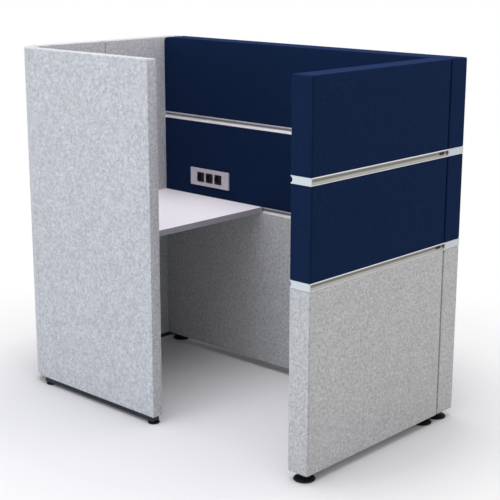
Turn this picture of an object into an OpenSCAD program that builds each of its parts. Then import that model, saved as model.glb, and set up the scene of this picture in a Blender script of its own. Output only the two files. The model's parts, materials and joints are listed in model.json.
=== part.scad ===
// Study carrel. Two tiled fabric walls with tool rails stand on the right and behind the
// user, two plain fabric screens joined by a curved corner stand on the left and at the back,
// and a desk with a power module beside it spans between them. The entry is the gap on the
// left, between the left screen and the end wall.
// +X is to the user's right, +Y is ahead of the user and the floor is z = 0.

/* [Overall] */
// Width, from the left end of the end wall to the outer face of the side wall
carrel_w = 904; // [860:2:1000]
// Length, from the outer face of the end wall to the outer face of the back screen
carrel_l = 1596; // [1550:2:1700]
// Height above the floor
carrel_h = 1436; // [1380:2:1600]

/* [Tiled walls] */
// Thickness of the side wall, on the user's right
side_wall_t = 104; // [90:2:110]
// Thickness of the end wall, behind the user
end_wall_t = 89; // [84:1:100]
// Clear gap under the tiled walls
wall_gap = 32; // [26:1:36]
// Height of the lower grey tile
lower_tile_h = 676; // [640:1:700]
// Height of the middle blue tile
middle_tile_h = 335; // [300:5:340]
// Thickness of foam and fabric on a tile
tile_cover_t = 10; // [8:1:12]
// Radius of a tile's upright edges
tile_edge_r = 4; // [3:1:9]

/* [Tool rails] */
// Height of a tool rail
rail_h = 28; // [26:1:32]
// Depth of the concave groove along each face of a rail
groove_depth = 7.5; // [6:0.5:8]
// Height of the groove's mouth
groove_h = 22; // [20:1:22]
// Wall of the hollow extrusion
rail_wall = 3; // [2:0.5:4]
// Thickness of a rail's end cap
rail_cap_t = 5; // [3:0.5:6]

/* [Plain screens] */
// Thickness of the plain screens
screen_t = 48; // [46:1:56]
// Length of the left screen with its share of the corner
left_screen_l = 800; // [760:10:860]
// Setback of the left screen from the end wall's left end
left_setback = 7; // [0:1:20]
// Clear gap under the screens' fabric
screen_gap = 31; // [28:1:34]
// Outer radius of the curved corner
corner_r = 96; // [88:1:100]
// Thickness of foam and fabric on a screen
screen_cover_t = 6; // [5:1:8]
// Height of the dark base rail
base_rail_h = 21; // [16:1:22]
// Width of the dark base rail
base_rail_w = 34; // [30:1:38]

/* [Desk] */
// Depth of the desk, from front to back
desk_depth = 606; // [560:2:640]
// Thickness of the desk top
desk_t = 24; // [22:1:30]
// Thickness of the edging strip along the front
desk_edge_t = 2; // [1:0.5:3]
// Length of each steel angle under the desk
angle_l = 300; // [200:10:340]
// Leg of each steel angle
angle_leg = 24; // [20:1:30]
// Thickness of each steel angle
angle_t = 3; // [2:0.5:4]

/* [Power module] */
// Width of the module's front plate
plate_w = 236; // [230:1:260]
// Height of the front plate
plate_h = 78; // [74:1:90]
// Thickness of the front plate
plate_t = 8; // [4:1:9]
// Height of the plate's centre above the floor
plate_z = 822; // [815:1:860]
// Distance of the plate's centre from the back screen
plate_from_back = 291; // [260:1:320]
// Side of each square socket insert
socket_w = 44; // [40:1:45]
// Distance between the sockets' centres
socket_pitch = 54; // [52:0.5:58]
// Diameter of the round recess in a socket
recess_d = 38; // [34:1:39]
// Depth of the recess
recess_depth = 13; // [10:1:16]

/* [Feet] */
// Diameter of the pads under the tiled walls
wall_pad_d = 80; // [70:1:82]
// Diameter of the pads under the screens
screen_pad_d = 48; // [40:1:49]
// Distance of a wall foot from the end of its wall
wall_foot_inset = 40; // [40:1:44]
// Distance of a screen foot from the end of its base rail
screen_foot_inset = 13; // [10:1:30]
// Diameter of the threaded studs under the tiled walls
wall_stud_d = 10; // [8:1:12]
// Diameter of the threaded studs under the screens
screen_stud_d = 8; // [6:1:8]

/* [Hidden] */
$fn = 48;

// Colours
GREY_FABRIC = [0.66, 0.68, 0.71];
BLUE_FABRIC = [0.05, 0.09, 0.22];
BOARD = [0.76, 0.62, 0.44];
ALUMINIUM = [0.88, 0.88, 0.87];
STEEL = [0.62, 0.63, 0.65];
CHARCOAL = [0.14, 0.15, 0.17];
BLACK = [0.05, 0.05, 0.055];
WHITE = [0.93, 0.92, 0.94];
EDGE_GREY = [0.45, 0.44, 0.48];

// A small overshoot, so that cuts pass clean through
EPS = 1;
// Heights of the joints in the tiled walls
rail_1_z = wall_gap + lower_tile_h;
middle_z = rail_1_z + rail_h;
rail_2_z = middle_z + middle_tile_h;
top_z = rail_2_z + rail_h;
// Outer faces of the carrel
left_x = -carrel_w / 2;
right_x = carrel_w / 2;
front_y = -carrel_l / 2;
back_y = carrel_l / 2;
// Inner faces
side_inner_x = right_x - side_wall_t;
back_inner_y = back_y - screen_t;
left_outer_x = left_x + left_setback;
left_inner_x = left_outer_x + screen_t;
// Lengths of the pieces along each wall
end_wall_l = carrel_w - side_wall_t;
side_wall_l = carrel_l - screen_t;
left_straight_l = left_screen_l - corner_r;
left_front_y = back_y - left_screen_l;
corner_x = left_outer_x + corner_r;
corner_y = back_y - corner_r;
corner_inner_r = corner_r - screen_t;
screen_centre_r = corner_r - screen_t / 2;
// Frames inside the tiles
plate_base_t = 6;
end_stile_w = 16;
mid_stile_w = 30;
core_rail_h = 18;
post_w = 25;
post_wall = 2;
post_play = 0.5;
post_top_z = carrel_h - 30;
side_post_middle = side_wall_l / 2;
// Frames inside the screens
screen_stile_w = 60;
desk_rail_h = 60;
// Dowels that pin the screens to each other and to the side wall
dowel_d = 8;
dowel_l = 40;
dowel_play = 0.2;
dowel_heights = [200, 600, 1250];
// Desk
desk_top_z = middle_z;
desk_low_z = desk_top_z - desk_t;
desk_front_y = back_inner_y - desk_depth;
desk_w = side_inner_x - left_inner_x;
desk_corner_play = 1;
angle_centre_y = desk_front_y + desk_depth / 2 + 20;
angle_centre_x = (left_inner_x + side_inner_x) / 2;
screw_d = 5;
screw_head_d = 9;
screw_head_h = 2.5;
screw_l = 18;
screw_play = 0.1;
screw_from_end = 40;
// Power module
plate_y = back_inner_y - plate_from_back;
socket_l = 30;
plate_line_inset = 22;
plate_line_w = 1;
plate_line_depth = 0.8;
socket_proud = 1;
socket_play = 0.2;
pin_hole_d = 5;
pin_hole_gap = 19;
pin_hole_depth = 10;
box_w = 225;
box_h = 70;
box_depth = 46;
box_wall = 1.5;
box_play = 1;
// Feet
wall_pad_h = 12;
screen_pad_h = 8;
pad_chamfer = 2;
pad_side_h = 3;
pad_floor_t = 3;
pad_play = 0.3;
stud_play = 0.3;
locknut_af = 17;
locknut_h = 6;
stud_hex_af = 14;
stud_hex_h = 5;
wall_stud_top = 64;
screen_stud_top = 46;
base_rail_low = screen_gap - base_rail_h;
base_rail_gap = 13;
base_groove_h = 5;
base_groove_depth = 1.5;
left_rail_l = left_straight_l - base_rail_gap - 10;
far_foot_inset = 23;
back_rail_x = corner_x + 8;
back_rail_l = right_x - base_rail_gap - back_rail_x;

// Where the feet stand, as [x, y]
function wall_feet() = [
    [left_x + wall_foot_inset, front_y + end_wall_t / 2],
    [side_inner_x - wall_foot_inset, front_y + end_wall_t / 2],
    [right_x - side_wall_t / 2, front_y + wall_foot_inset],
    [right_x - side_wall_t / 2, back_inner_y - wall_foot_inset]
];
function screen_feet() = [
    [left_outer_x + screen_t / 2, left_front_y + base_rail_gap + screen_foot_inset],
    [left_outer_x + screen_t / 2, left_front_y + base_rail_gap + left_rail_l - far_foot_inset],
    [back_rail_x + screen_foot_inset, back_y - screen_t / 2],
    [back_rail_x + back_rail_l - screen_foot_inset, back_y - screen_t / 2]
];

// Local frames: x runs along the wall, y across it from one face to the other
module at_end_wall() translate([left_x, front_y, 0]) children();
module at_side_wall() translate([right_x, front_y, 0]) rotate(90) children();
module at_left_screen() translate([left_inner_x, left_front_y, 0]) rotate(90) children();
module at_back_screen() translate([0, back_inner_y, 0]) children();

// ---- Shared shapes ----

module rounded_plan(w, d, r) {
    translate([r, 0]) square([w - 2 * r, d]);
    translate([0, r]) square([w, d - 2 * r]);
    for (x = [r, w - r], y = [r, d - r]) translate([x, y]) circle(r);
}

// A fabric cover: an upright shell round a core, open below, with a lid on the top pieces
module cover_shell(w, d, z0, z1, wall, edge_r, lid) {
    inner_h = z1 - z0 - lid + (lid > 0 ? EPS : 2 * EPS);
    translate([0, 0, z0]) difference() {
        linear_extrude(z1 - z0) rounded_plan(w, d, edge_r);
        translate([wall, wall, -EPS]) cube([w - 2 * wall, d - 2 * wall, inner_h]);
    }
}

// A board frame: a slab with one open bay between each pair of stiles
module core_frame(w, d, h, side_stile, mid_stile, rail, bays) {
    bay_w = (w - 2 * side_stile - (bays - 1) * mid_stile) / bays;
    difference() {
        cube([w, d, h]);
        for (i = [0 : bays - 1])
            translate([side_stile + i * (bay_w + mid_stile), -EPS, rail])
                cube([bay_w, d + 2 * EPS, h - 2 * rail]);
    }
}

// The frame inside one tile, with slots in its rails for the upright posts
module tile_core(w, d, z0, z1, bays, posts) {
    c = tile_cover_t;
    difference() {
        translate([c, c, z0])
            core_frame(w - 2 * c, d - 2 * c, z1 - z0, end_stile_w, mid_stile_w, core_rail_h, bays);
        for (x = posts) post_slot(x, d, z0 - EPS, z1 + EPS);
    }
}

module post_slot(x, d, z0, z1) {
    s = post_w + 2 * post_play;
    translate([x - s / 2, d / 2 - s / 2, z0]) cube([s, s, min(z1, post_top_z + post_play) - z0]);
}

module post(x, d) {
    translate([x - post_w / 2, d / 2 - post_w / 2, wall_gap + plate_base_t]) difference() {
        cube([post_w, post_w, post_top_z - wall_gap - plate_base_t]);
        translate([post_wall, post_wall, -EPS])
            cube([post_w - 2 * post_wall, post_w - 2 * post_wall, carrel_h]);
    }
}

// Cross-section of a tool rail: a concave groove along each face
module rail_outline(t) {
    groove_r = (groove_h * groove_h / 4 + groove_depth * groove_depth) / (2 * groove_depth);
    difference() {
        square([t, rail_h]);
        for (y = [groove_depth - groove_r, t - groove_depth + groove_r])
            translate([y, rail_h / 2]) circle(groove_r);
    }
}

module rail_solid(l, t) rotate([90, 0, 90]) linear_extrude(l) rail_outline(t);

module tool_rail(l, t, z, posts) {
    chamber_y = groove_depth + rail_wall;
    translate([rail_cap_t, 0, z]) difference() {
        rail_solid(l - rail_cap_t, t);
        translate([-EPS, chamber_y, rail_wall])
            cube([l + 2 * EPS, t - 2 * chamber_y, rail_h - 2 * rail_wall]);
        for (x = posts) post_slot(x - rail_cap_t, t, -EPS, rail_h + EPS);
    }
}

// End caps of one wall's rails: they follow the inner groove and close the outer one
module rail_caps(t) {
    groove_r = (groove_h * groove_h / 4 + groove_depth * groove_depth) / (2 * groove_depth);
    for (z = [rail_1_z, rail_2_z])
        translate([0, 0, z]) rotate([90, 0, 90]) linear_extrude(rail_cap_t) difference() {
            square([t, rail_h]);
            translate([t - groove_depth + groove_r, rail_h / 2]) circle(groove_r);
        }
}

module base_plate(l, t, feet) {
    c = tile_cover_t;
    difference() {
        translate([c, c, wall_gap]) cube([l - 2 * c, t - 2 * c, plate_base_t]);
        for (x = feet)
            translate([x, t / 2, wall_gap - EPS])
                cylinder(h = plate_base_t + 2 * EPS, d = wall_stud_d + 2 * stud_play);
    }
}

// ---- Tiled walls ----

end_posts_x = [wall_foot_inset, end_wall_l - wall_foot_inset];
side_posts_x = [wall_foot_inset, side_post_middle, side_wall_l - wall_foot_inset];
side_feet_x = [wall_foot_inset, side_wall_l - wall_foot_inset];
core_low_z = wall_gap + plate_base_t;
tile_lid = tile_cover_t;

module end_lower_cover() color(GREY_FABRIC) at_end_wall()
    cover_shell(end_wall_l, end_wall_t, wall_gap, rail_1_z, tile_cover_t, tile_edge_r, 0);
module end_lower_core() color(BOARD) at_end_wall()
    tile_core(end_wall_l, end_wall_t, core_low_z, rail_1_z, 2, end_posts_x);
module end_middle_cover() color(BLUE_FABRIC) at_end_wall()
    cover_shell(end_wall_l, end_wall_t, middle_z, rail_2_z, tile_cover_t, tile_edge_r, 0);
module end_middle_core() color(BOARD) at_end_wall()
    tile_core(end_wall_l, end_wall_t, middle_z, rail_2_z, 2, end_posts_x);
module end_top_cover() color(BLUE_FABRIC) at_end_wall()
    cover_shell(end_wall_l, end_wall_t, top_z, carrel_h, tile_cover_t, tile_edge_r, tile_lid);
module end_top_core() color(BOARD) at_end_wall()
    tile_core(end_wall_l, end_wall_t, top_z, carrel_h - tile_lid, 2, end_posts_x);

module side_lower_cover() color(GREY_FABRIC) difference() {
    at_side_wall()
        cover_shell(side_wall_l, side_wall_t, wall_gap, rail_1_z, tile_cover_t, tile_edge_r, 0);
    fastener_holes();
}
module side_lower_core() color(BOARD) difference() {
    at_side_wall() tile_core(side_wall_l, side_wall_t, core_low_z, rail_1_z, 3, side_posts_x);
    fastener_holes();
}
module side_middle_cover() color(BLUE_FABRIC) difference() {
    at_side_wall()
        cover_shell(side_wall_l, side_wall_t, middle_z, rail_2_z, tile_cover_t, tile_edge_r, 0);
    power_cutout();
}
module side_middle_core() color(BOARD)
    at_side_wall() tile_core(side_wall_l, side_wall_t, middle_z, rail_2_z, 3, side_posts_x);
module side_top_cover() color(BLUE_FABRIC) difference() {
    at_side_wall()
        cover_shell(side_wall_l, side_wall_t, top_z, carrel_h, tile_cover_t, tile_edge_r, tile_lid);
    fastener_holes();
}
module side_top_core() color(BOARD) difference() {
    at_side_wall()
        tile_core(side_wall_l, side_wall_t, top_z, carrel_h - tile_lid, 3, side_posts_x);
    fastener_holes();
}

module end_rail_lower() color(ALUMINIUM) at_end_wall()
    tool_rail(end_wall_l, end_wall_t, rail_1_z, end_posts_x);
module end_rail_upper() color(ALUMINIUM) at_end_wall()
    tool_rail(end_wall_l, end_wall_t, rail_2_z, end_posts_x);
module side_rail_lower() color(ALUMINIUM) at_side_wall()
    tool_rail(side_wall_l, side_wall_t, rail_1_z, side_posts_x);
module side_rail_upper() color(ALUMINIUM) at_side_wall()
    tool_rail(side_wall_l, side_wall_t, rail_2_z, side_posts_x);
module end_rail_caps() color(WHITE) at_end_wall() rail_caps(end_wall_t);
module side_rail_caps() color(WHITE) at_side_wall() rail_caps(side_wall_t);

// Dark blocks in the end wall's outer grooves, which clamp its rails to the side wall's rails
module rail_link_blocks() {
    block_l = 26;
    block_h = 7;
    block_from_end = 17;
    color(BLACK) at_end_wall()
        for (z = [rail_1_z, rail_2_z])
            translate([end_wall_l - block_from_end - block_l, 0, z + rail_h / 2 - block_h / 2])
                intersection() {
                    translate([0, groove_depth / 2, 0]) cube([block_l, groove_depth / 2, block_h]);
                    translate([0, 0, block_h / 2 - rail_h / 2]) groove_space(block_l);
                }
}

// The space inside a rail's outer groove
module groove_space(l) {
    groove_r = (groove_h * groove_h / 4 + groove_depth * groove_depth) / (2 * groove_depth);
    rotate([90, 0, 90]) linear_extrude(l)
        translate([groove_depth - groove_r, rail_h / 2]) circle(groove_r);
}

module end_posts() color(STEEL) at_end_wall() for (x = end_posts_x) post(x, end_wall_t);
module side_posts() color(STEEL) at_side_wall() for (x = side_posts_x) post(x, side_wall_t);
module end_base_plate() color(STEEL) at_end_wall()
    base_plate(end_wall_l, end_wall_t, end_posts_x);
module side_base_plate() color(STEEL) at_side_wall()
    base_plate(side_wall_l, side_wall_t, side_feet_x);

// ---- Plain screens ----

module screen_cover(l) cover_shell(l, screen_t, screen_gap, carrel_h, screen_cover_t, 4, screen_cover_t);

module screen_core(l) {
    c = screen_cover_t;
    translate([c, c, screen_gap])
        core_frame(l - 2 * c, screen_t - 2 * c, carrel_h - c - screen_gap, screen_stile_w, 0,
            screen_stile_w, 1);
    translate([c, c, desk_top_z - desk_rail_h]) cube([l - 2 * c, screen_t - 2 * c, desk_rail_h]);
}

module left_screen_cover() color(GREY_FABRIC) difference() {
    at_left_screen() screen_cover(left_straight_l);
    fastener_holes();
}
module left_screen_core() color(BOARD) difference() {
    at_left_screen() screen_core(left_straight_l);
    fastener_holes();
    screen_stud_holes();
}

// A quarter ring, upright, round the centre of the curved corner
module quarter_ring(r0, r1, z0, z1)
    translate([corner_x, corner_y, 0]) rotate(90)
        rotate_extrude(angle = 90) translate([r0, z0]) square([r1 - r0, z1 - z0]);

module corner_cover() color(GREY_FABRIC) difference() {
    quarter_ring(corner_inner_r, corner_r, screen_gap, carrel_h);
    corner_core_ring(EPS);
    fastener_holes();
}

module corner_core_ring(below) {
    c = screen_cover_t;
    quarter_ring(corner_inner_r + c, corner_r - c, screen_gap - below, carrel_h - c);
}

module corner_core() color(BOARD) difference() {
    corner_core_ring(0);
    fastener_holes();
}

module back_left_cover() color(GREY_FABRIC) difference() {
    translate([corner_x, 0, 0]) at_back_screen() screen_cover(-corner_x);
    fastener_holes();
}
module back_left_core() color(BOARD) difference() {
    translate([corner_x, 0, 0]) at_back_screen() screen_core(-corner_x);
    fastener_holes();
    screen_stud_holes();
}
module back_right_cover() color(GREY_FABRIC) difference() {
    at_back_screen() screen_cover(right_x);
    fastener_holes();
}
module back_right_core() color(BOARD) difference() {
    at_back_screen() screen_core(right_x);
    fastener_holes();
    screen_stud_holes();
}

// A dark bar with a shallow groove along each side, bored for the studs
module base_rail(l) {
    side = (screen_t - base_rail_w) / 2;
    groove_z = base_rail_low + base_rail_h / 2 - base_groove_h / 2;
    difference() {
        translate([0, side, base_rail_low]) cube([l, base_rail_w, base_rail_h]);
        for (y = [side - EPS, side + base_rail_w - base_groove_depth])
            translate([-EPS, y, groove_z])
                cube([l + 2 * EPS, base_groove_depth + EPS, base_groove_h]);
    }
}

module left_base_rail() color(CHARCOAL) difference() {
    at_left_screen() translate([base_rail_gap, 0, 0]) base_rail(left_rail_l);
    screen_stud_holes();
}
module back_base_rail() color(CHARCOAL) difference() {
    at_back_screen() translate([back_rail_x, 0, 0]) base_rail(back_rail_l);
    screen_stud_holes();
}

module screen_stud_holes()
    for (p = screen_feet())
        translate([p[0], p[1], 0])
            cylinder(h = screen_stud_top + EPS, d = screen_stud_d + 2 * stud_play);

// Dowels across each joint between screens, and into the side wall
module dowels(d, l)
    for (z = dowel_heights) {
        translate([corner_x - screen_centre_r, corner_y, z]) rotate([90, 0, 0])
            cylinder(h = l, d = d, center = true);
        for (x = [corner_x, 0])
            translate([x, back_y - screen_t / 2, z]) rotate([0, 90, 0])
                cylinder(h = l, d = d, center = true);
        translate([right_x - side_wall_t / 2, back_inner_y, z]) rotate([90, 0, 0])
            cylinder(h = l, d = d, center = true);
    }

module screen_dowels() color(STEEL) dowels(dowel_d, dowel_l);

// ---- Desk ----

module desk_top() color(WHITE) difference() {
    translate([left_inner_x, desk_front_y + desk_edge_t, desk_low_z])
        cube([desk_w, desk_depth - desk_edge_t, desk_t]);
    desk_corner_cut();
    fastener_holes();
}

// Waste outside the curved corner's inner face
module desk_corner_cut() {
    r = corner_inner_r - desk_corner_play;
    translate([corner_x, corner_y, desk_low_z - EPS]) linear_extrude(desk_t + 2 * EPS)
        difference() {
            translate([-corner_r, 0]) square(corner_r);
            circle(r);
        }
}

module desk_edge() color(EDGE_GREY)
    translate([left_inner_x, desk_front_y, desk_low_z]) cube([desk_w, desk_edge_t, desk_t]);

// A steel angle, its upright leg against a wall and its flat leg under the desk
module angle() difference() {
    translate([-angle_l / 2, 0, desk_low_z - angle_leg]) difference() {
        cube([angle_l, angle_leg, angle_leg]);
        translate([-EPS, angle_t, -EPS])
            cube([angle_l + 2 * EPS, angle_leg, angle_leg - angle_t + EPS]);
    }
    angle_screws(screw_d + 2 * screw_play, 0);
}

// The screws of one angle: two up into the desk and two into the wall
module angle_screws(shank_d, head_h) {
    for (x = [-angle_l / 2 + screw_from_end, angle_l / 2 - screw_from_end]) {
        translate([x, angle_leg / 2 + angle_t / 2, desk_low_z - angle_t])
            screw(shank_d, head_h);
        translate([x, angle_t, desk_low_z - angle_leg / 2 - angle_t / 2]) rotate([90, 0, 0])
            screw(shank_d, head_h);
    }
}

module screw(shank_d, head_h) {
    cylinder(h = screw_l, d = shank_d);
    if (head_h > 0) translate([0, 0, -head_h]) cylinder(h = head_h, d = screw_head_d);
}

module at_left_angle() translate([left_inner_x, angle_centre_y, 0]) rotate(-90) children();
module at_right_angle() translate([side_inner_x, angle_centre_y, 0]) rotate(90) children();
module at_back_angle() translate([angle_centre_x, back_inner_y, 0]) rotate(180) children();

module desk_angle_left() color(STEEL) at_left_angle() angle();
module desk_angle_right() color(STEEL) at_right_angle() angle();
module desk_angle_back() color(STEEL) at_back_angle() angle();

module all_screws(shank_d, head_h) {
    at_left_angle() angle_screws(shank_d, head_h);
    at_right_angle() angle_screws(shank_d, head_h);
    at_back_angle() angle_screws(shank_d, head_h);
}

module desk_screws() color(STEEL) all_screws(screw_d, screw_head_h);

// Clearance for every screw and dowel
module fastener_holes() {
    all_screws(screw_d + 2 * screw_play, 0);
    dowels(dowel_d + 2 * dowel_play, dowel_l);
}

// ---- Power module ----

socket_ys = [for (i = [-1 : 1]) plate_y + i * socket_pitch];

module power_plate() color(ALUMINIUM) difference() {
    translate([side_inner_x - plate_t, plate_y - plate_w / 2, plate_z - plate_h / 2])
        cube([plate_t, plate_w, plate_h]);
    for (y = socket_ys)
        translate([side_inner_x - plate_t - EPS, y - socket_w / 2, plate_z - socket_w / 2])
            cube([plate_t + 2 * EPS, socket_w, socket_w]);
    for (y = [plate_y - plate_w / 2 + plate_line_inset, plate_y + plate_w / 2 - plate_line_inset])
        translate([side_inner_x - plate_t - EPS, y - plate_line_w / 2, plate_z - plate_h / 2 - EPS])
            cube([plate_line_depth + EPS, plate_line_w, plate_h + 2 * EPS]);
}

// One black socket insert, with a round recess and two pin holes
module socket() {
    w = socket_w - 2 * socket_play;
    difference() {
        translate([0, -w / 2, -w / 2]) cube([socket_l, w, w]);
        translate([-EPS, 0, 0]) rotate([0, 90, 0]) cylinder(h = recess_depth + EPS, d = recess_d);
        for (y = [-pin_hole_gap / 2, pin_hole_gap / 2])
            translate([recess_depth - EPS, y, 0]) rotate([0, 90, 0])
                cylinder(h = pin_hole_depth + EPS, d = pin_hole_d);
    }
}

module power_sockets() color(BLACK)
    for (y = socket_ys)
        translate([side_inner_x - plate_t - socket_proud, y, plate_z]) socket();

// A shallow steel box behind the plate, open towards the desk
module power_box() color(STEEL)
    translate([side_inner_x, plate_y - box_w / 2, plate_z - box_h / 2]) difference() {
        cube([box_depth, box_w, box_h]);
        translate([-EPS, box_wall, box_wall])
            cube([box_depth - box_wall + EPS, box_w - 2 * box_wall, box_h - 2 * box_wall]);
    }

module power_cutout()
    translate([side_inner_x - EPS, plate_y - box_w / 2 - box_play, plate_z - box_h / 2 - box_play])
        cube([tile_cover_t + 2 * EPS, box_w + 2 * box_play, box_h + 2 * box_play]);

// ---- Feet ----

// A domed pad, made by turning its outline, with a socket for the stud
module pad(d, h, stud_d) {
    hub_r = stud_d / 2 + 4;
    dome_r = d / 2 - hub_r;
    dome_h = h - pad_side_h;
    steps = 6;
    dome = [for (i = [0 : steps])
        [hub_r + dome_r * cos(90 * i / steps), pad_side_h + dome_h * sin(90 * i / steps)]];
    difference() {
        rotate_extrude()
            polygon(concat([[0, 0], [d / 2 - pad_chamfer, 0], [d / 2, pad_chamfer]], dome,
                [[0, h]]));
        translate([0, 0, pad_floor_t]) cylinder(h = h, d = stud_d + 2 * pad_play);
    }
}

module stud(d, z_top, hex_z, hex_h) {
    translate([0, 0, pad_floor_t]) cylinder(h = z_top - pad_floor_t, d = d);
    if (hex_h > 0) translate([0, 0, hex_z]) hexagon(stud_hex_af, hex_h);
}

module hexagon(across_flats, h) cylinder(h = h, d = across_flats / cos(30), $fn = 6);

module wall_pad(i) color(BLACK)
    translate(concat(wall_feet()[i], 0)) pad(wall_pad_d, wall_pad_h, wall_stud_d);
module wall_stud(i) color(STEEL)
    translate(concat(wall_feet()[i], 0))
        stud(wall_stud_d, wall_stud_top, wall_pad_h, stud_hex_h);
module screen_pad(i) color(BLACK)
    translate(concat(screen_feet()[i], 0)) pad(screen_pad_d, screen_pad_h, screen_stud_d);
module screen_stud(i) color(STEEL)
    translate(concat(screen_feet()[i], 0)) stud(screen_stud_d, screen_stud_top, 0, 0);

module end_left_pad() wall_pad(0);
module end_left_stud() wall_stud(0);
module end_right_pad() wall_pad(1);
module end_right_stud() wall_stud(1);
module side_front_pad() wall_pad(2);
module side_front_stud() wall_stud(2);
module side_back_pad() wall_pad(3);
module side_back_stud() wall_stud(3);
module left_front_pad() screen_pad(0);
module left_front_stud() screen_stud(0);
module left_back_pad() screen_pad(1);
module left_back_stud() screen_stud(1);
module back_left_pad() screen_pad(2);
module back_left_stud() screen_stud(2);
module back_right_pad() screen_pad(3);
module back_right_stud() screen_stud(3);

// Nuts that lock the wall studs against the base plates
module foot_locknuts() color(STEEL)
    for (p = wall_feet())
        translate([p[0], p[1], wall_gap - locknut_h]) difference() {
            hexagon(locknut_af, locknut_h);
            translate([0, 0, -EPS])
                cylinder(h = locknut_h + 2 * EPS, d = wall_stud_d + 2 * stud_play);
        }

end_lower_cover();
end_lower_core();
end_middle_cover();
end_middle_core();
end_top_cover();
end_top_core();
side_lower_cover();
side_lower_core();
side_middle_cover();
side_middle_core();
side_top_cover();
side_top_core();
end_rail_lower();
end_rail_upper();
side_rail_lower();
side_rail_upper();
end_rail_caps();
side_rail_caps();
rail_link_blocks();
end_posts();
side_posts();
end_base_plate();
side_base_plate();
left_screen_cover();
left_screen_core();
corner_cover();
corner_core();
back_left_cover();
back_left_core();
back_right_cover();
back_right_core();
left_base_rail();
back_base_rail();
screen_dowels();
desk_top();
desk_edge();
desk_angle_left();
desk_angle_right();
desk_angle_back();
desk_screws();
power_plate();
power_sockets();
power_box();
foot_locknuts();
end_left_pad();
end_left_stud();
end_right_pad();
end_right_stud();
side_front_pad();
side_front_stud();
side_back_pad();
side_back_stud();
left_front_pad();
left_front_stud();
left_back_pad();
left_back_stud();
back_left_pad();
back_left_stud();
back_right_pad();
back_right_stud();
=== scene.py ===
import json
import math

import bmesh
import bpy
from mathutils import Matrix, Vector, noise


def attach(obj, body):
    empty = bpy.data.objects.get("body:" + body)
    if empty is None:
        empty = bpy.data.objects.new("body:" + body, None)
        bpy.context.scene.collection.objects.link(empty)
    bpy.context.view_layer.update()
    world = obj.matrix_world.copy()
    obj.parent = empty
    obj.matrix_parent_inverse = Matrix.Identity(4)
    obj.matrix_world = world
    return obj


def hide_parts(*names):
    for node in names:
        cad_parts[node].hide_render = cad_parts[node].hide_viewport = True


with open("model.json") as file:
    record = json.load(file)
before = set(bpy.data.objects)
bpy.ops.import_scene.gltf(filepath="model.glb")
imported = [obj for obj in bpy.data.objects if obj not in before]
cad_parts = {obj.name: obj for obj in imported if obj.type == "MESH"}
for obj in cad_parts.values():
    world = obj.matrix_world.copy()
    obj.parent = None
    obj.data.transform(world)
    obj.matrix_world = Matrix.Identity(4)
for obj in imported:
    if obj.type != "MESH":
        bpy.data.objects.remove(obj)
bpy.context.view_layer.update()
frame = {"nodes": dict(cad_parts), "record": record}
nodes = frame["nodes"]
ROOT = "carrel"

# places and sizes in the row frame, in metres; near is behind the user and far is ahead of them
LEFT, RIGHT, NEAR = -0.452, 0.452, -0.798
END_WALL_T = 0.089
END_TILE_L = 0.7985
SIDE_WALL_L, SIDE_WALL_T = 1.548, 0.104
TILE_Z = {"lower": (0.032, 0.708), "middle": (0.736, 1.071), "top": (1.099, 1.436)}
RAIL_Z, RAIL_H, RAIL_PITCH = 0.708, 0.028, 0.363
SCREEN_T, SCREEN_Z0, SCREEN_Z1 = 0.048, 0.031, 1.436
LEFT_SCREEN_L = 0.704
BEND_X, BEND_Y, BEND_R = -0.349, 0.702, 0.048  # centre and inner radius of the curved corner
BACK_SEAM = 0.0012  # half the gap between the two back screens, which meet at x = 0
WELT = 0.005  # from a free edge to the seam beside it

# ---------------------------------------------------------------- materials


def new_material(name):
    m = bpy.data.materials.new(name)
    m.use_nodes = True
    tree = m.node_tree
    shader = tree.nodes["Principled BSDF"]
    return m, tree, shader


def add(tree, kind, **props):
    n = tree.nodes.new(kind)
    for k, v in props.items():
        setattr(n, k, v)
    return n


def coords(tree, scale=(1, 1, 1), rotation=(0, 0, 0)):
    """Object coordinates, which are the row frame in metres."""
    tc = add(tree, "ShaderNodeTexCoord")
    mp = add(tree, "ShaderNodeMapping")
    mp.inputs["Scale"].default_value = scale
    mp.inputs["Rotation"].default_value = rotation
    tree.links.new(tc.outputs["Object"], mp.inputs["Vector"])
    return mp.outputs["Vector"]


def noise_tex(tree, vec, scale, detail=2.0, rough=0.5, distortion=0.0):
    n = add(tree, "ShaderNodeTexNoise")
    n.inputs["Scale"].default_value = scale
    n.inputs["Detail"].default_value = detail
    n.inputs["Roughness"].default_value = rough
    n.inputs["Distortion"].default_value = distortion
    tree.links.new(vec, n.inputs["Vector"])
    return n.outputs["Fac"]


def wave_tex(tree, vec, scale, direction="X", distortion=0.0):
    n = add(tree, "ShaderNodeTexWave", wave_type="BANDS", bands_direction=direction)
    n.inputs["Scale"].default_value = scale
    n.inputs["Distortion"].default_value = distortion
    n.inputs["Detail"].default_value = 1.0
    n.inputs["Detail Scale"].default_value = 1.5
    tree.links.new(vec, n.inputs["Vector"])
    return n.outputs["Fac"]


def math_node(tree, op, a, b):
    n = add(tree, "ShaderNodeMath", operation=op)
    for sock, v in zip(n.inputs, (a, b)):
        if isinstance(v, (int, float)):
            sock.default_value = v
        else:
            tree.links.new(v, sock)
    return n.outputs[0]


def ramp(tree, fac, stops):
    n = add(tree, "ShaderNodeValToRGB")
    el = n.color_ramp.elements
    while len(el) < len(stops):
        el.new(0.5)
    for e, (pos, col) in zip(el, stops):
        e.position = pos
        e.color = (*col, 1) if len(col) == 3 else col
    tree.links.new(fac, n.inputs["Fac"])
    return n.outputs["Color"]


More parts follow.
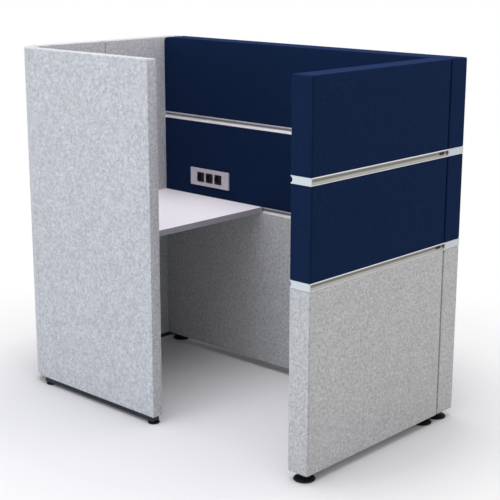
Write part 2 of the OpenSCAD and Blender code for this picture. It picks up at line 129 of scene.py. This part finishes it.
def mix(tree, fac, a, b, blend="MIX"):
    n = add(tree, "ShaderNodeMix", data_type="RGBA", blend_type=blend)
    for key, v in ((0, fac), (6, a), (7, b)):
        sock = n.inputs[key]
        if isinstance(v, (int, float)):
            sock.default_value = v
        elif isinstance(v, tuple):
            sock.default_value = (*v, 1)
        else:
            tree.links.new(v, sock)
    return n.outputs[2]


def bump(tree, shader, height, strength, distance, normal=None):
    n = add(tree, "ShaderNodeBump")
    n.inputs["Strength"].default_value = strength
    n.inputs["Distance"].default_value = distance
    tree.links.new(height, n.inputs["Height"])
    if normal is not None:
        tree.links.new(normal, n.inputs["Normal"])
    tree.links.new(n.outputs["Normal"], shader.inputs["Normal"])
    return n.outputs["Normal"]


def fabric(name, dark, mid, light, fleck, sheen=0.2, tint=(1, 1, 1), specular=0.2, mottle=0.2):
    """Milled melange wool: mixed fibres, a fine plain weave under the nap, and cloudy variation."""
    m, t, s = new_material(name)
    v = coords(t)
    grain = noise_tex(t, v, 380, 3.0, 0.62)
    fibre = noise_tex(t, coords(t, (1, 1, 0.45)), 800, 3.0, 0.7, 0.4)
    blend = math_node(t, "ADD", math_node(t, "MULTIPLY", grain, 0.6), math_node(t, "MULTIPLY", fibre, 0.4))
    base = ramp(t, blend, [(0.39, dark), (0.5, mid), (0.61, light)])
    speck = noise_tex(t, coords(t, (1, 1, 1), (0.6, 0.3, 0.9)), 420, 2.0, 0.55)
    mask = ramp(t, speck, [(0.63, (0, 0, 0)), (0.72, (1, 1, 1))])
    base = mix(t, mask, base, fleck)
    blotch = ramp(t, noise_tex(t, v, 84, 3.0, 0.55), [(0.3, (1 - mottle,) * 3), (0.7, (1 + mottle,) * 3)])
    base = mix(t, 1.0, base, blotch, "MULTIPLY")
    cloud = ramp(t, noise_tex(t, v, 22, 2.0, 0.5), [(0.3, (0.965,) * 3), (0.7, (1.035,) * 3)])
    base = mix(t, 1.0, base, cloud, "MULTIPLY")
    t.links.new(base, s.inputs["Base Color"])
    rough = ramp(t, fibre, [(0.2, (0.82,) * 3), (0.8, (0.98,) * 3)])
    t.links.new(rough, s.inputs["Roughness"])
    s.inputs["Sheen Weight"].default_value = sheen
    s.inputs["Sheen Roughness"].default_value = 0.5
    s.inputs["Sheen Tint"].default_value = (*tint, 1)
    s.inputs["Specular IOR Level"].default_value = specular
    warp = wave_tex(t, coords(t, (1, 1, 0), (0, 0, 0.7)), 260, "X", 0.8)
    weft = wave_tex(t, v, 260, "Z", 0.8)
    weave = math_node(t, "MULTIPLY", warp, weft)
    n1 = bump(t, s, weave, 0.25, 0.0004)
    bump(t, s, fibre, 0.45, 0.0007, n1)
    return m


def satin_metal(name, colour, rough=0.34, metallic=0.85, along=(6, 6, 800)):
    """Extruded or drawn metal: fine lines along its length and faint handling marks."""
    m, t, s = new_material(name)
    lines = noise_tex(t, coords(t, along), 1.0, 3.0, 0.6)
    smear = noise_tex(t, coords(t), 14, 3.0, 0.6)
    c = tuple(x * 0.95 for x in colour)
    base = mix(t, lines, c, tuple(min(1, x * 1.04) for x in colour))
    base = mix(t, 1.0, base, ramp(t, smear, [(0.3, (0.95,) * 3), (0.7, (1.0,) * 3)]), "MULTIPLY")
    t.links.new(base, s.inputs["Base Color"])
    r = math_node(t, "ADD", math_node(t, "MULTIPLY", smear, 0.16), rough - 0.08)
    t.links.new(r, s.inputs["Roughness"])
    s.inputs["Metallic"].default_value = metallic
    bump(t, s, lines, 0.12, 0.0002)
    return m


INSIDE_X, INSIDE_Y = 0.365, -0.75  # the rails' inner faces are left of the one and ahead of the other


def rail_metal(name, colour, rough, metallic):
    """A satin extrusion with bright lips and painted shade in its grooves: darkest above the groove's middle,
    lighter low in the groove, and darker on the outside of the carrel than on the inside.
    """
    m = satin_metal(name, colour, rough, metallic)
    t = m.node_tree
    s = t.nodes["Principled BSDF"]
    base = s.inputs["Base Color"].links[0].from_socket
    sep = add(t, "ShaderNodeSeparateXYZ")
    t.links.new(coords(t), sep.inputs[0])
    part = math_node(t, "MODULO", math_node(t, "SUBTRACT", sep.outputs["Z"], RAIL_Z), RAIL_PITCH)
    level = math_node(t, "DIVIDE", part, RAIL_H)
    # painted shade for the outer faces: both lips light, and the groove dark where its hollow turns down, lighter
    # low down where it turns up
    painted_shade_outside = ramp(t, level, [(0.05, (0.74,) * 3), (0.15, (0.53, 0.53, 0.52)), (0.28, (0.56, 0.56, 0.54)),
                           (0.39, (0.31, 0.31, 0.29)), (0.5, (0.2, 0.2, 0.18)), (0.61, (0.18, 0.18, 0.16)),
                           (0.72, (0.3, 0.3, 0.28)), (0.82, (0.52, 0.52, 0.51)), (0.9, (0.95,) * 3)])
    # painted shade for the inner faces, which face more light: the lower half stays bright and only the upper
    # groove is darkened
    painted_shade_inside = ramp(t, level, [(0.05, (1.0,) * 3), (0.34, (1.0,) * 3), (0.44, (0.55, 0.54, 0.59)),
                            (0.55, (0.24, 0.23, 0.26)), (0.74, (0.23, 0.22, 0.25)), (0.88, (0.85,) * 3)])
    not_right = math_node(t, "LESS_THAN", sep.outputs["X"], INSIDE_X)
    not_near = math_node(t, "GREATER_THAN", sep.outputs["Y"], INSIDE_Y)
    inside = math_node(t, "MULTIPLY", not_right, not_near)
    # depth is the painted groove shade: the lighter set on the inner faces, the darker set on the outer ones
    depth = mix(t, inside, painted_shade_outside, painted_shade_inside)
    t.links.new(mix(t, 1.0, base, depth, "MULTIPLY"), s.inputs["Base Color"])
    return m


def moulded(name, colour, rough=0.45, grain=1400, depth=0.0002, variation=0.06, dust=0.0, specular=0.5):
    """Moulded plastic or rubber: a fine eroded grain, uneven gloss and a little dust low down."""
    m, t, s = new_material(name)
    v = coords(t)
    fine = noise_tex(t, v, grain, 2.0, 0.5)
    slow = noise_tex(t, v, 30, 3.0, 0.6)
    lo = tuple(x * (1 - variation) for x in colour)
    hi = tuple(min(1, x * (1 + variation) + 0.002) for x in colour)
    base = mix(t, slow, lo, hi)
    if dust:
        sep = add(t, "ShaderNodeSeparateXYZ")
        t.links.new(coords(t), sep.inputs[0])
        low = ramp(t, sep.outputs["Z"], [(0.0, (dust,) * 3), (0.02, (0, 0, 0))])
        dusty = math_node(t, "MULTIPLY", low, noise_tex(t, v, 240, 3.0, 0.7))
        base = mix(t, dusty, base, (0.3, 0.29, 0.27))
    t.links.new(base, s.inputs["Base Color"])
    r = math_node(t, "ADD", math_node(t, "MULTIPLY", slow, 0.14), rough - 0.07)
    t.links.new(r, s.inputs["Roughness"])
    s.inputs["Specular IOR Level"].default_value = specular
    bump(t, s, fine, 0.2, depth)
    return m


def laminate(name, colour):
    """Desk laminate: a fine pearl texture, with faint wiping marks in its gloss."""
    m, t, s = new_material(name)
    v = coords(t)
    pearl = noise_tex(t, v, 900, 2.0, 0.5)
    wipes = noise_tex(t, coords(t, (3, 22, 3), (0, 0, 0.5)), 1.0, 4.0, 0.6)
    base = mix(t, wipes, tuple(x * 0.97 for x in colour), colour)
    t.links.new(base, s.inputs["Base Color"])
    r = math_node(t, "ADD", math_node(t, "MULTIPLY", wipes, 0.16), 0.36)
    t.links.new(r, s.inputs["Roughness"])
    bump(t, s, pearl, 0.12, 0.00015)
    return m


def chipboard(name):
    """Pressed wood chips."""
    m, t, s = new_material(name)
    v = coords(t)
    chips = add(t, "ShaderNodeTexVoronoi")
    chips.inputs["Scale"].default_value = 260
    t.links.new(v, chips.inputs["Vector"])
    base = mix(t, chips.outputs["Color"], (0.36, 0.24, 0.13), (0.62, 0.47, 0.29))
    t.links.new(base, s.inputs["Base Color"])
    s.inputs["Roughness"].default_value = 0.85
    bump(t, s, chips.outputs["Distance"], 0.3, 0.0006)
    return m


GREY = fabric("grey_wool", (0.25, 0.253, 0.256), (0.40, 0.405, 0.41), (0.57, 0.575, 0.58),
              (0.22, 0.22, 0.23))
PALE = fabric("pale_wool", (0.26, 0.267, 0.28), (0.42, 0.43, 0.45), (0.59, 0.605, 0.63),
              (0.23, 0.235, 0.25))
BLUE = fabric("navy_wool", (0.003, 0.0085, 0.025), (0.0046, 0.0128, 0.037), (0.008, 0.0205, 0.055),
              (0.0035, 0.0095, 0.026), sheen=0.1, tint=(0.15, 0.27, 1.0), specular=0.012, mottle=0.09)

LOOKS = {
    "core_board": chipboard("chipboard"),
    "rail_aluminium": rail_metal("anodised_rail", (0.9, 0.9, 0.9), 0.4, 0.5),
    "rail_cap": moulded("white_cap", (0.49, 0.53, 0.56), 0.4),
    "link_block": moulded("black_block", (0.008, 0.007, 0.007), 0.5, specular=0.2),
    "frame_steel": moulded("powder_coat_grey", (0.2, 0.21, 0.22), 0.5, 700, 0.0003),
    "base_rail": satin_metal("anodised_charcoal", (0.028, 0.032, 0.04), 0.4, 0.6),
    "zinc_steel": satin_metal("zinc_plate", (0.55, 0.56, 0.57), 0.35, 0.95, (60, 60, 300)),
    "desk_laminate": laminate("white_laminate", (0.80, 0.78, 0.82)),
    "desk_edge": moulded("grey_edging", (0.30, 0.285, 0.33), 0.5),
    "angle_steel": moulded("powder_coat_dark", (0.12, 0.12, 0.13), 0.5, 700, 0.0003),
    "power_plate": moulded("pale_plate", (0.455, 0.435, 0.49), 0.4),
    "socket_black": moulded("black_insert", (0.016, 0.012, 0.015), 0.4, specular=0.3),
    "box_steel": satin_metal("galvanised", (0.4, 0.41, 0.42), 0.45, 0.9, (40, 40, 40)),
    "pad_black": moulded("black_pad", (0.0025, 0.0025, 0.003), 0.6, 900, 0.0003, 0.2, 0.03, 0.15),
    "stud_steel": satin_metal("zinc_stud", (0.5, 0.51, 0.52), 0.35, 0.95, (60, 60, 900)),
}
FABRICS = {"grey_fabric": GREY, "blue_fabric": BLUE, "pale_fabric": PALE}
slot_of = {p["node"]: p["material_slot"] for p in frame["record"]["subparts"]}
for name, obj in nodes.items():
    look = LOOKS.get(slot_of[name]) or FABRICS[slot_of[name]]
    for i in range(len(obj.material_slots)):
        obj.material_slots[i].material = look

# the plate's moulded edges are slightly rounded
soft = nodes["power_plate"].modifiers.new("soft_edge", "BEVEL")
soft.width = 0.0014
soft.segments = 3
soft.limit_method = "ANGLE"
soft.angle_limit = math.radians(40)

# ---------------------------------------------------------------- upholstered blocks

ROUND_STEPS = (0.15, 0.32, 0.5, 0.7, 0.85, 1.0)  # grid lines round an edge, as parts of its radius
SEAM_STEPS = (0.0, 0.001, 0.002, 0.003, 0.0045)  # and on each side of a seam, in metres
CUT_HALF = 0.0002  # and of a cut
CLEAR_OF_SEAM = 0.0055  # the even grid lines keep this far from seams and cuts
SAME_PLACE = 1e-5  # grid lines closer than this are one
FACE_SEAM = (0.0026, 0.0019)  # depth and width of a seam in a big face
END_SEAM = (0.0032, 0.0017)  # and of one in an end
EASE = 0.03  # over which one edge's rounding turns into another's
PINCH = 0.05  # over which the foam's swell fades out towards the edges
LOOSE = 0.00025  # how uneven the fabric lies
GAP_FROM, GAP_OVER = 0.6, 0.38  # a set-back grows through the block's thickness, from and over these parts
HOLLOW_RIM, HOLLOW_SLOPE, HOLLOW_LIFT = 0.007, 0.003, 0.012  # width, width and height


def steps(length, r_lo, r_hi, extra=(), step=0.013, cuts=()):
    """Grid positions along one side: close together round both edges, at seams and at cuts, even between."""
    s = {0.0, length}
    for f in ROUND_STEPS:
        s.add(r_lo * f)
        s.add(length - r_hi * f)
    for e in extra:
        for d in SEAM_STEPS:
            s.update((e - d, e + d))
    for e in cuts:
        s.update((e - CUT_HALF, e + CUT_HALF))
    lo, hi = r_lo, length - r_hi
    n = max(1, round((hi - lo) / step))
    for i in range(1, n):
        x = lo + (hi - lo) * i / n
        if all(abs(x - e) > CLEAR_OF_SEAM for e in (*extra, *cuts)):
            s.add(x)
    out = []
    for x in sorted(x for x in s if 0 <= x <= length):
        if not out or x - out[-1] > SAME_PLACE:
            out.append(x)
    return out


def smooth(x):
    x = min(1.0, max(0.0, x))
    return x * x * (3 - 2 * x)


def seam_dip(x, seam, depth_and_width):
    depth, width = depth_and_width
    return depth * math.exp(-(((x - seam) / width) ** 2))


def block(name, size, place, material, edge, ends, corners, bottom=0.004, seams=(), end_seams=(),
          crown=0.0012, hollow=False, seed=0.0, pocket=None, gap=None):
    """A fabric-covered block in its own frame: x along it, y through it and z up, from 0.

    place turns a point of that frame into the row frame. edge, ends and bottom are how far the fabric rounds
    the long edges, those of the two ends, and those underneath. corners are how far it rounds each corner of the
    big faces: low left, low right, top left, top right. seams are x positions of upright seams on both big faces,
    and end_seams are y positions of upright seams on the end at x = 0. crown is the foam's swell. hollow lifts
    the middle of the underside. seed sets the unevenness. pocket is a rectangle cut into the far big face: x0,
    x1, z0, z1 and its depth. gap is how far the far face is set back next to the end at x = 0, and over what
    length, where another block meets it."""
    L, W, H = size
    cut = pocket or ()
    xs = steps(L, ends[0], ends[1], seams, cuts=(*cut[0:2], *(gap or ())[1:2]))
    ys = steps(W, edge, edge, end_seams, 0.006)
    zs = steps(H, bottom, edge, cuts=cut[2:4])
    bm = bmesh.new()
    grid = {}

    def radius(x, z):
        r = edge
        if ends[0] != edge:
            r += (ends[0] - r) * smooth(1 - x / EASE)
        if ends[1] != edge:
            r += (ends[1] - r) * smooth(1 - (L - x) / EASE)
        if bottom != edge:
            r += (bottom - r) * smooth(1 - z / EASE)
        return r

    def shape(q):
        r = radius(q.x, q.z)
        c = Vector((min(max(q.x, r), L - r), min(max(q.y, r), W - r), min(max(q.z, r), H - r)))
        d = q - c
        n = d.normalized() if d.length > 1e-9 else Vector((0, 0, 0))
        p = c + n * r
        # round the corners of the big faces
        for k, (hi_x, hi_z) in enumerate(((0, 0), (1, 0), (0, 1), (1, 1))):
            R = corners[k]
            u = (L - p.x) if hi_x else p.x
            w = (H - p.z) if hi_z else p.z
            if u < R and w < R:
                a, b = R - u, R - w
                far = max(a, b)
                scale = far / math.hypot(a, b)
                a, b = a * scale, b * scale
                p.x = L - R + a if hi_x else R - a
                p.z = H - R + b if hi_z else R - b
        # foam pushes the big faces out, and seams pull them in
        on_big = abs(n.y)
        fall = min(1.0, min(q.x, L - q.x, q.z, H - q.z) / PINCH)
        out = crown * smooth(fall) * on_big
        side = -1 if q.y < W / 2 else 1
        for s in seams:
            out -= seam_dip(q.x, s, FACE_SEAM) * on_big
        if on_big > 0.5:
            wob = noise.noise(Vector((q.x * 9 + seed, side * 3.1, q.z * 9)))
            wob += 0.5 * noise.noise(Vector((q.x * 26 + seed, side * 5.7, q.z * 26)))
            out += LOOSE * wob * fall
        p.y += out * side
        if gap and q.x < gap[1]:
            p.y -= gap[0] * smooth((q.y / W - GAP_FROM) / GAP_OVER)
        if pocket and q.y > W - SAME_PLACE and cut[0] < q.x < cut[1] and cut[2] < q.z < cut[3]:
            p.y = W - cut[4]
        if q.x < W * 0.2 + 0.001 and abs(n.x) > 0.3:
            for s in end_seams:
                p.x += seam_dip(q.y, s, END_SEAM) * abs(n.x)
        if hollow and (n.z < -0.5 or q.z == 0):
            rim = min(q.x, L - q.x, q.y, W - q.y)
            p.z += HOLLOW_LIFT * smooth((rim - HOLLOW_RIM) / HOLLOW_SLOPE)
        return p

    def vert(i, j, k):
        key = (i, j, k)
        if key not in grid:
            q = Vector((xs[i], ys[j], zs[k]))
            grid[key] = bm.verts.new(place(shape(q)))
        return grid[key]

    def quad(corner_keys, flip):
        f = [vert(*key) for key in corner_keys]
        bm.faces.new(f[::-1] if flip else f)

    nx, ny, nz = len(xs) - 1, len(ys) - 1, len(zs) - 1
    for j, flip in ((0, False), (ny, True)):
        for i in range(nx):
            for k in range(nz):
                quad(((i, j, k), (i + 1, j, k), (i + 1, j, k + 1), (i, j, k + 1)), flip)
    for i, flip in ((0, True), (nx, False)):
        for j in range(ny):
            for k in range(nz):
                quad(((i, j, k), (i, j + 1, k), (i, j + 1, k + 1), (i, j, k + 1)), flip)
    for k, flip in ((0, True), (nz, False)):
        for i in range(nx):
            for j in range(ny):
                quad(((i, j, k), (i + 1, j, k), (i + 1, j + 1, k), (i, j + 1, k)), flip)
    bmesh.ops.recalc_face_normals(bm, faces=bm.faces)
    me = bpy.data.meshes.new(name)
    bm.to_mesh(me)
    bm.free()
    me.polygons.foreach_set("use_smooth", [True] * len(me.polygons))
    me.materials.append(material)
    o = bpy.data.objects.new(name, me)
    bpy.context.scene.collection.objects.link(o)
    return o


def along_x(x0, y0, z0):
    """x and y of the block run along +X and +Y of the row frame."""
    return lambda p: (x0 + p.x, y0 + p.y, z0 + p.z)


def along_y(x1, y0, z0):
    """x of the block runs along +Y of the row frame, and y of the block along -X."""
    return lambda p: (x1 - p.y, y0 + p.x, z0 + p.z)


def round_corner(cx, cy, r0, mid_r, z0):
    """Bends the block round the corner: x runs from the left screen's end to the back screen's."""
    def f(p):
        a = math.pi - p.x / mid_r
        r = r0 + p.y
        return (cx + r * math.cos(a), cy + r * math.sin(a), z0 + p.z)
    return f


def finish_block(o, node):
    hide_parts(node)
    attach(o, ROOT)


def screen(name, node, length, place, ends, corners, **rest):
    size = (length, SCREEN_T, SCREEN_Z1 - SCREEN_Z0)
    o = block(name, size, place, PALE, edge=0.0035, ends=ends, corners=corners, **rest)
    finish_block(o, node)


# the power module sits in the side wall's middle tile; the end wall meets the near end of each side tile
POWER_POCKET = (1.1435, 1.3705, 0.05, 0.122, 0.047)
WALL_GAP = (0.0055, 0.087)

for level, (z0, z1) in TILE_Z.items():
    low = level == "lower"
    wool, slot_name = (GREY, "grey_fabric") if low else (BLUE, "blue_fabric")
    end_tile = block(f"end_{level}_tile", (END_TILE_L, END_WALL_T, z1 - z0), along_x(LEFT, NEAR, z0), wool,
                     edge=0.004, ends=(0.003, 0.006), corners=(0.004, 0.003, 0.006, 0.004), bottom=0.003,
                     seams=(WELT,), hollow=low, seed=z0 * 7)
    finish_block(end_tile, f"end_{level}_cover")
    side_tile = block(f"side_{level}_tile", (SIDE_WALL_L, SIDE_WALL_T, z1 - z0), along_y(RIGHT, NEAR, z0), wool,
                      edge=0.004, ends=(0.003, 0.003), bottom=0.003, hollow=low, seed=z0 * 7 + 40,
                      corners=(0.004, 0.004, 0.006, 0.022 if level == "top" else 0.006),
                      pocket=POWER_POCKET if level == "middle" else None, gap=WALL_GAP)
    finish_block(side_tile, f"side_{level}_cover")

screen("left_screen", "left_screen_cover", LEFT_SCREEN_L,
       along_y(BEND_X - BEND_R, BEND_Y - LEFT_SCREEN_L, SCREEN_Z0), (0.003, 0.0022),
       (0.005, 0.002, 0.005, 0.002), bottom=0.003, end_seams=(WELT, SCREEN_T - WELT), crown=0.0008, seed=3.3)
BEND_MID_R = BEND_R + SCREEN_T / 2
screen("curved_corner", "corner_cover", BEND_MID_R * math.pi / 2,
       round_corner(BEND_X, BEND_Y, BEND_R, BEND_MID_R, SCREEN_Z0), (0.0022, 0.0022),
       (0.002,) * 4, bottom=0.006, crown=0.0004, seed=8.1)
screen("back_screen_left", "back_left_cover", -BEND_X - BACK_SEAM,
       along_x(BEND_X, BEND_Y + BEND_R, SCREEN_Z0), (0.0022, 0.004),
       (0.002,) * 4, crown=0.0006, seed=12.4)
screen("back_screen_right", "back_right_cover", RIGHT - BACK_SEAM,
       along_x(BACK_SEAM, BEND_Y + BEND_R, SCREEN_Z0), (0.004, 0.004),
       (0.002, 0.005, 0.002, 0.005), crown=0.0006, seed=19.9)

# ---------------------------------------------------------------- floor, light, camera

floor_mat, ft, fs = new_material("studio_floor")
fv = coords(ft)
ftone = mix(ft, noise_tex(ft, fv, 0.7, 2.0, 0.5), (0.655, 0.66, 0.665), (0.685, 0.69, 0.695))
ft.links.new(ftone, fs.inputs["Base Color"])
fs.inputs["Roughness"].default_value = 0.7
fs.inputs["Specular IOR Level"].default_value = 0.15
# the floor fades into a white studio sweep, the same in every direction
flen = add(ft, "ShaderNodeVectorMath", operation="LENGTH")
ft.links.new(fv, flen.inputs[0])
ffade = ramp(ft, math_node(ft, "DIVIDE", flen.outputs["Value"], 2.5),
             [(0.38, (0, 0, 0)), (0.52, (0.6,) * 3), (0.8, (1, 1, 1))])
sweep = add(ft, "ShaderNodeEmission")
sweep.inputs["Strength"].default_value = 1.0
fmix = add(ft, "ShaderNodeMixShader")
ft.links.new(ffade, fmix.inputs[0])
ft.links.new(fs.outputs[0], fmix.inputs[1])
ft.links.new(sweep.outputs[0], fmix.inputs[2])
ft.links.new(fmix.outputs[0], ft.nodes["Material Output"].inputs["Surface"])
bm = bmesh.new()
bmesh.ops.create_grid(bm, x_segments=2, y_segments=2, size=30)
fme = bpy.data.meshes.new("studio_floor")
bm.to_mesh(fme)
bm.free()
floor = bpy.data.objects.new("studio_floor", fme)
floor.location = (0, 0, -0.0005)
fme.materials.append(floor_mat)
bpy.context.scene.collection.objects.link(floor)

world = bpy.data.worlds.new("studio")
bpy.context.scene.world = world
world.use_nodes = True
wt = world.node_tree
# the sky is white where it meets the floor's sweep, and a little darker above
sky = add(wt, "ShaderNodeTexCoord")
sky_z = add(wt, "ShaderNodeSeparateXYZ")
wt.links.new(sky.outputs["Generated"], sky_z.inputs[0])
tone = ramp(wt, sky_z.outputs["Z"], [(0.02, (1.0, 1.0, 1.0)), (0.2, (0.808, 0.795, 0.82))])
wt.links.new(tone, wt.nodes["Background"].inputs["Color"])
wt.nodes["Background"].inputs["Strength"].default_value = 1.0


def area(name, loc, target, size, power, colour=(1, 1, 1)):
    d = bpy.data.lights.new(name, "AREA")
    d.shape = "RECTANGLE"
    d.size, d.size_y = size
    d.energy = power
    d.color = colour
    o = bpy.data.objects.new(name, d)
    o.location = loc
    o.rotation_euler = (Vector(target) - Vector(loc)).to_track_quat("-Z", "Y").to_euler()
    bpy.context.scene.collection.objects.link(o)


area("key", (-4.2, 0.2, 1.15), (0, 0, 0.6), (3.0, 3.0), 60, (0.77, 0.89, 1.03))
area("top", (-0.3, -0.2, 4.2), (0, 0, 0.5), (3.5, 3.5), 124, (1.0, 0.965, 0.995))
area("front", (2.2, -3.8, 2.2), (0.2, 0, 0.7), (3.0, 2.0), 9, (1.0, 0.88, 0.6))

# the camera, as solved from the picture: focal length in its pixels, angles in degrees, place in metres
WIDTH_PX, FOCAL_PX, SENSOR = 500, 1211.70, 36
YAW_PITCH_ROLL = (42.774, -14.273, 0.127)
EYE = (-3.4683, -3.3149, 1.8539)
cam_data = bpy.data.cameras.new("view")
cam_data.sensor_width = SENSOR
cam_data.lens = FOCAL_PX * SENSOR / WIDTH_PX
cam_data.clip_end = 100
cam = bpy.data.objects.new("view", cam_data)
bpy.context.scene.collection.objects.link(cam)
yaw, pitch, roll = (math.radians(a) for a in YAW_PITCH_ROLL)
fwd = Vector((math.cos(pitch) * math.cos(yaw), math.cos(pitch) * math.sin(yaw), math.sin(pitch)))
level_right = fwd.cross(Vector((0, 0, 1))).normalized()
level_up = level_right.cross(fwd)
right = level_right * math.cos(roll) + level_up * math.sin(roll)
up = level_up * math.cos(roll) - level_right * math.sin(roll)
cam.matrix_world = Matrix((
    (right.x, up.x, -fwd.x, EYE[0]),
    (right.y, up.y, -fwd.y, EYE[1]),
    (right.z, up.z, -fwd.z, EYE[2]),
    (0, 0, 0, 1),
))
bpy.context.scene.camera = cam
bpy.context.scene.view_settings.view_transform = "Standard"
bpy.context.scene.view_settings.look = "None"
